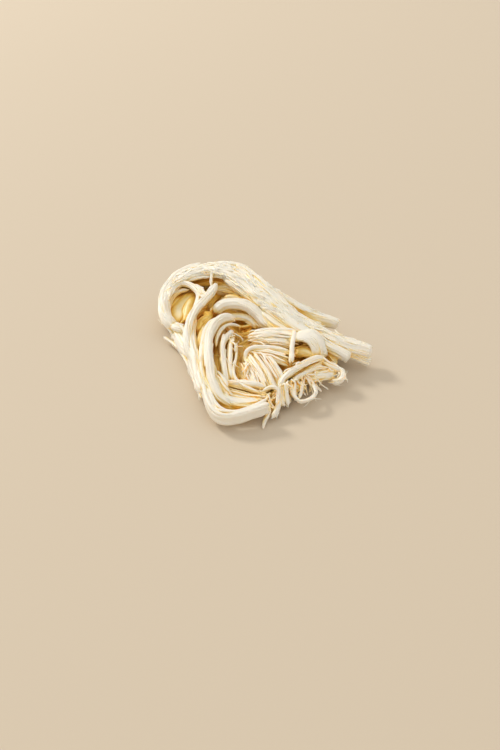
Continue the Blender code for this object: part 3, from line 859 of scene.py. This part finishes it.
def makePackedCore():
    def fat(points, wide, thick, tone, seed):
        return strand(points, wide, thick, ridges=14, deep=1.6, tips=(6, 6), wobble=0.5, tone=tone, seed=seed)

    strands = [
        fat([(-58, 60, 8), (-30, 60, 8), (5, 46, 8), (45, 30, 8), (64, 26, 8)], 28, 17, -0.3, 81),
        fat([(-56, 60, 18), (-30, 59, 21), (5, 45, 17), (45, 29, 11)], 17, 11, -0.3, 82),
        fat([(-62, 10, 5), (-42, -2, 6), (-18, -28, 6), (6, -58, 5)], 21, 13, -0.35, 83),
        fat([(-70, 64, 6), (-72, 44, 5), (-64, 20, 5)], 23, 11, -0.3, 84),
        fat([(-52, 36, 6), (-12, 14, 6), (20, -14, 6), (42, -29, 5)], 46, 14, 0.0, 85),
        fat([(-12, -30, 4), (10, -45, 4), (32, -45, 4)], 30, 10, -0.15, 86),
        fat([(2, -61, 3), (14, -63, 3), (29, -57, 3)], 16, 8, -0.2, 87),
        fat([(47, 25, 6), (43, 8, 6), (43, -14, 6)], 30, 13, -0.05, 88),
    ]
    return sweep("packedCore", strands, packedCore, cheeseCore)


pieces = [makeLoopedEnd(), makeBackArm(), makeFrontArm(), makeCurledMiddle(), makeTornSide(),
          makePackedCore()]

print("strands made")


hollowShade = {
    "Rays": 20,
    "Reach": 0.022,
    "Near": 0.004,
    "Lift": 0.0004,
    "spread": 0.98,
    "grooveWeight": 0.35,     # hits closer than Near count for less, so a thin groove gets less painted shade than a wide gap
    "softening": 2,
}


# painted shade: rays from each point measure how closed in it is among all strands; the stored values later
# move the cheese colour from cream toward the darker ramp colours
def makeHollowTree():
    tree, given = startTree("hollowShade", {
        "Around": ("Object", None), "Rays": ("Int", 24), "Reach": ("Float", 0.022), "Near": ("Float", 0.004),
        "Lift": ("Float", 0.0004), "Material": ("Material", None)})
    around = put(tree, "GeometryNodeObjectInfo", {"Object": given["Around"]}).outputs["Geometry"]
    repeatIn = tree.nodes.new("GeometryNodeRepeatInput")
    repeatOut = tree.nodes.new("GeometryNodeRepeatOutput")
    repeatIn.pair_with_output(repeatOut)
    start = store(tree, store(tree, given["Geometry"], "hollow", 0.0), "nook", 0.0)
    tree.links.new(start, repeatIn.inputs["Geometry"])
    tree.links.new(given["Rays"], repeatIn.inputs["Iterations"])
    normal = made(tree, "GeometryNodeInputNormal")
    place = made(tree, "GeometryNodeInputPosition")
    chance = put(tree, "FunctionNodeRandomValue", data_type="FLOAT_VECTOR")
    chance.inputs["Min"].default_value = (-1, -1, -1)
    chance.inputs["Max"].default_value = (1, 1, 1)
    tree.links.new(repeatIn.outputs["Iteration"], chance.inputs["Seed"])
    heading = vec(tree, "NORMALIZE", chance.outputs[0])
    heading = vec(tree, "SCALE", heading, hollowShade["spread"])
    heading = vec(tree, "NORMALIZE", vec(tree, "ADD", normal, heading))
    source = vec(tree, "ADD", place, vec(tree, "SCALE", normal, given["Lift"]))
    ray = put(tree, "GeometryNodeRaycast", {"Target Geometry": around, "Source Position": source,
                                            "Ray Direction": heading, "Ray Length": given["Reach"]})
    mesh = repeatIn.outputs["Geometry"]
    wideGap = calc(tree, "DIVIDE", ray.outputs["Hit Distance"], given["Near"], clamp=True)
    thinGap = hollowShade["grooveWeight"]
    wideGap = calc(tree, "MULTIPLY_ADD", wideGap, 1 - thinGap, thinGap)
    for label, reach, part in (("hollow", given["Reach"], wideGap), ("nook", given["Near"], 1.0)):
        near = calc(tree, "SUBTRACT", 1.0, calc(tree, "DIVIDE", ray.outputs["Hit Distance"], reach),
                    clamp=True)
        blocked = times(tree, ray.outputs["Is Hit"], calc(tree, "SQRT", near))
        blocked = times(tree, blocked, part)
        total = calc(tree, "ADD", named(tree, label), calc(tree, "DIVIDE", blocked, given["Rays"]))
        mesh = store(tree, mesh, label, total)
    tree.links.new(mesh, repeatOut.inputs["Geometry"])
    mesh = repeatOut.outputs["Geometry"]
    for label in ("hollow", "nook"):
        soft = made(tree, "GeometryNodeBlurAttribute", {"Value": named(tree, label),
                                                        "Iterations": hollowShade["softening"]})
        mesh = store(tree, mesh, label, soft)
    return endTree(tree, mesh, given["Material"])


def joined(parts, name):
    copies = [addObject(name, part.data.copy()) for part in parts]
    if len(copies) > 1:
        with bpy.context.temp_override(active_object=copies[0], object=copies[0], selected_objects=copies,
                                       selected_editable_objects=copies):
            bpy.ops.object.join()
    return copies[0]


def shadeHollows():
    everything = joined(pieces, "allStrands")
    tree = makeHollowTree()
    for piece in pieces:
        values = {key: hollowShade[key] for key in ("Rays", "Reach", "Near", "Lift")}
        values.update({"Around": everything, "Material": piece.data.materials[0]})
        piece.data = runTree(tree, piece, values, piece.name)
    bpy.data.objects.remove(everything)


shadeHollows()
print("hollows shaded")


looseFibres = {"Density": 9000.0, "Shortest": 0.004, "Longest": 0.011, "Width": 0.024, "Flat": 0.7,
               "Lift": 0.03, "Seed": 3}
tornFlakes = {"Density": 26000.0, "Shortest": 0.004, "Longest": 0.009, "Width": 0.1, "Flat": 0.32,
              "Lift": 0.075, "Seed": 8}
# sideways bend, rise in the middle and height of the tip, for a fibre one unit long
fibreBends = ((0.06, 0.0, 0.05), (-0.1, 0.06, 0.1), (0.14, -0.02, 0.03), (-0.04, 0.1, 0.02))


def makeFibreTree():
    # short fibres or flakes that stand off the strands, laid along their flow
    tree, given = startTree("liftedFibres", {
        "Density": ("Float", 10000.0), "Shortest": ("Float", 0.003), "Longest": ("Float", 0.01),
        "Width": ("Float", 0.035), "Flat": ("Float", 1.0), "Lift": ("Float", 0.25), "Seed": ("Int", 1),
        "Material": ("Material", None)})
    exposed = calc(tree, "MULTIPLY_ADD", named(tree, "hollow"), -3.0, 1.5, clamp=True)
    exposed = times(tree, exposed, calc(tree, "SUBTRACT", 1.0, named(tree, "nearCut")))
    scatter = put(tree, "GeometryNodeDistributePointsOnFaces",
                  {"Mesh": given["Geometry"], "Density": times(tree, exposed, given["Density"]),
                   "Seed": given["Seed"]})
    points, normal = scatter.outputs["Points"], scatter.outputs["Normal"]
    shapes = tree.nodes.new("GeometryNodeGeometryToInstance")
    for bend, rise, end in fibreBends:
        curve = put(tree, "GeometryNodeCurveQuadraticBezier", {"Resolution": 7, "Start": (0, 0, -0.04),
                                                               "Middle": (0.5, bend, rise),
                                                               "End": (1.0, -bend, end)})
        tip = put(tree, "GeometryNodeSplineParameter").outputs["Factor"]
        taper = times(tree, calc(tree, "SUBTRACT", 1.02, calc(tree, "POWER", tip, 5.0)), given["Width"])
        ring = made(tree, "GeometryNodeCurvePrimitiveCircle", {"Resolution": 5, "Radius": 1.0})
        tube = put(tree, "GeometryNodeCurveToMesh",
                   {"Curve": curve.outputs[0], "Profile Curve": ring, "Scale": taper, "Fill Caps": True})
        tree.links.new(tube.outputs[0], shapes.inputs[0])
    flow = named(tree, "flow", "FLOAT_VECTOR")
    turn = made(tree, "FunctionNodeAlignRotationToVector", {"Vector": flow}, axis="X")
    turn = made(tree, "FunctionNodeAlignRotationToVector", {"Rotation": turn, "Vector": normal}, axis="Z",
                pivot_axis="X")
    pick = put(tree, "FunctionNodeRandomValue", {"Min": 0, "Max": 3, "Seed": given["Seed"]}, data_type="INT")
    placed = made(tree, "GeometryNodeInstanceOnPoints", {"Points": points, "Instance": shapes.outputs[0],
                                                         "Pick Instance": True,
                                                         "Instance Index": pick.outputs["Value"],
                                                         "Rotation": turn})

    def chance(low, high, shift):
        node = put(tree, "FunctionNodeRandomValue", {"Seed": calc(tree, "ADD", given["Seed"], shift)})
        for label, value in (("Min", low), ("Max", high)):
            socket = [i for i in node.inputs if i.name == label and i.type == "VALUE"][0]
            if isinstance(value, bpy.types.NodeSocket):
                tree.links.new(value, socket)
            else:
                socket.default_value = value
        return [o for o in node.outputs if o.type == "VALUE"][0]

    size = chance(given["Shortest"], given["Longest"], 11)
    height = times(tree, size, given["Flat"])
    scale = made(tree, "ShaderNodeCombineXYZ", {0: size, 1: size, 2: height})
    placed = made(tree, "GeometryNodeScaleInstances", {"Instances": placed, "Scale": scale})
    tilt = times(tree, chance(-1.0, 0.3, 23), given["Lift"])
    spin = calc(tree, "MULTIPLY_ADD", calc(tree, "GREATER_THAN", chance(0.0, 1.0, 37), 0.5), math.pi,
                chance(-0.35, 0.35, 41))
    for angles in ({2: spin}, {1: tilt}):
        euler = made(tree, "ShaderNodeCombineXYZ", angles)
        placed = made(tree, "GeometryNodeRotateInstances", {"Instances": placed, "Rotation": euler})
    mesh = made(tree, "GeometryNodeRealizeInstances", {0: placed})
    mesh = made(tree, "GeometryNodeSetShadeSmooth", {"Geometry": mesh})
    position = made(tree, "GeometryNodeInputPosition")
    lowest = made(tree, "ShaderNodeCombineXYZ", {0: -9.0, 1: -9.0, 2: boardGap})
    mesh = made(tree, "GeometryNodeSetPosition", {"Geometry": mesh,
                                                  "Position": vec(tree, "MAXIMUM", position, lowest)})
    mesh = store(tree, mesh, "grain", position, "FLOAT_VECTOR")
    return endTree(tree, mesh, given["Material"])


fibreTree = makeFibreTree()


def scatterFibres(name, parts, settings):
    source = joined(parts, name + "Source")
    mesh = runTree(fibreTree, source, {**settings, "Material": cheeseStrand}, name)
    bpy.data.objects.remove(source)
    return finished(name, mesh)


def scatterAll():
    strands = pieces[:5]
    extra = [scatterFibres("looseFibres", strands, looseFibres),
             scatterFibres("tornFlakes", strands[1:2], tornFlakes)]
    for piece in pieces + extra:
        for label in ("flow", "nearCut"):
            if piece.data.attributes.get(label):
                piece.data.attributes.remove(piece.data.attributes[label])
    return extra


pieces += scatterAll()
print("fibres scattered")


for piece in pieces:
    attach(piece, "root")
    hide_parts("string_cheese")


studio = {
    "floorSize": 6.0,
    "floorColour": (0.70, 0.59, 0.45, 1.0),
    "keyPlace": (-3.39, 1.23, 2.55),
    "keyAim": (0, 0, 0.01),
    "keyPower": 84.0,
    "keySize": 0.9,
    "keyColour": (1, 0.98, 0.94),
    "skyStrength": 0.76,
    "skyColour": (1.0, 0.975, 0.93, 1.0),
}


def makeFloor():
    mesh = bpy.data.meshes.new("floor")
    bm = bmesh.new()
    bmesh.ops.create_grid(bm, x_segments=1, y_segments=1, size=studio["floorSize"] / 2)
    bm.to_mesh(mesh)
    bm.free()
    floor = addObject("floor", mesh)
    material = bpy.data.materials.new("paleFloor")
    material.use_nodes = True
    shader = material.node_tree.nodes["Principled BSDF"]
    shader.inputs["Base Color"].default_value = studio["floorColour"]
    shader.inputs["Roughness"].default_value = 0.8
    mesh.materials.append(material)


def makeLight():
    light = bpy.data.lights.new("keyLight", "AREA")
    light.energy, light.size, light.color = studio["keyPower"], studio["keySize"], studio["keyColour"]
    lamp = addObject("keyLight", light)
    lamp.location = studio["keyPlace"]
    aim = Vector(studio["keyAim"]) - Vector(studio["keyPlace"])
    lamp.rotation_euler = aim.to_track_quat("-Z", "Y").to_euler()
    world = bpy.data.worlds.new("studio")
    bpy.context.scene.world = world
    world.use_nodes = True
    sky = world.node_tree.nodes["Background"]
    sky.inputs["Color"].default_value = studio["skyColour"]
    sky.inputs["Strength"].default_value = studio["skyStrength"]


viewpoint = {"place": (0.242, -0.538, 0.414), "down": 35.83, "turn": 23.82, "lean": -0.88, "lens": 47.4}


def makeCamera():
    data = bpy.data.cameras.new("camera")
    data.lens = viewpoint["lens"]
    data.clip_start = 0.01
    camera = addObject("camera", data)
    camera.location = viewpoint["place"]
    camera.rotation_mode = "XYZ"
    turn, down = math.radians(viewpoint["turn"]), math.radians(viewpoint["down"])
    look = Vector((-math.sin(turn) * math.cos(down), math.cos(turn) * math.cos(down), -math.sin(down)))
    aim = look.to_track_quat("-Z", "Y")
    aim.rotate(Quaternion(look, math.radians(-viewpoint["lean"])))
    camera.rotation_euler = aim.to_euler()
    bpy.context.scene.camera = camera


makeFloor()
makeLight()
makeCamera()
bpy.context.scene.view_settings.view_transform = "Standard"
print("studio ready")
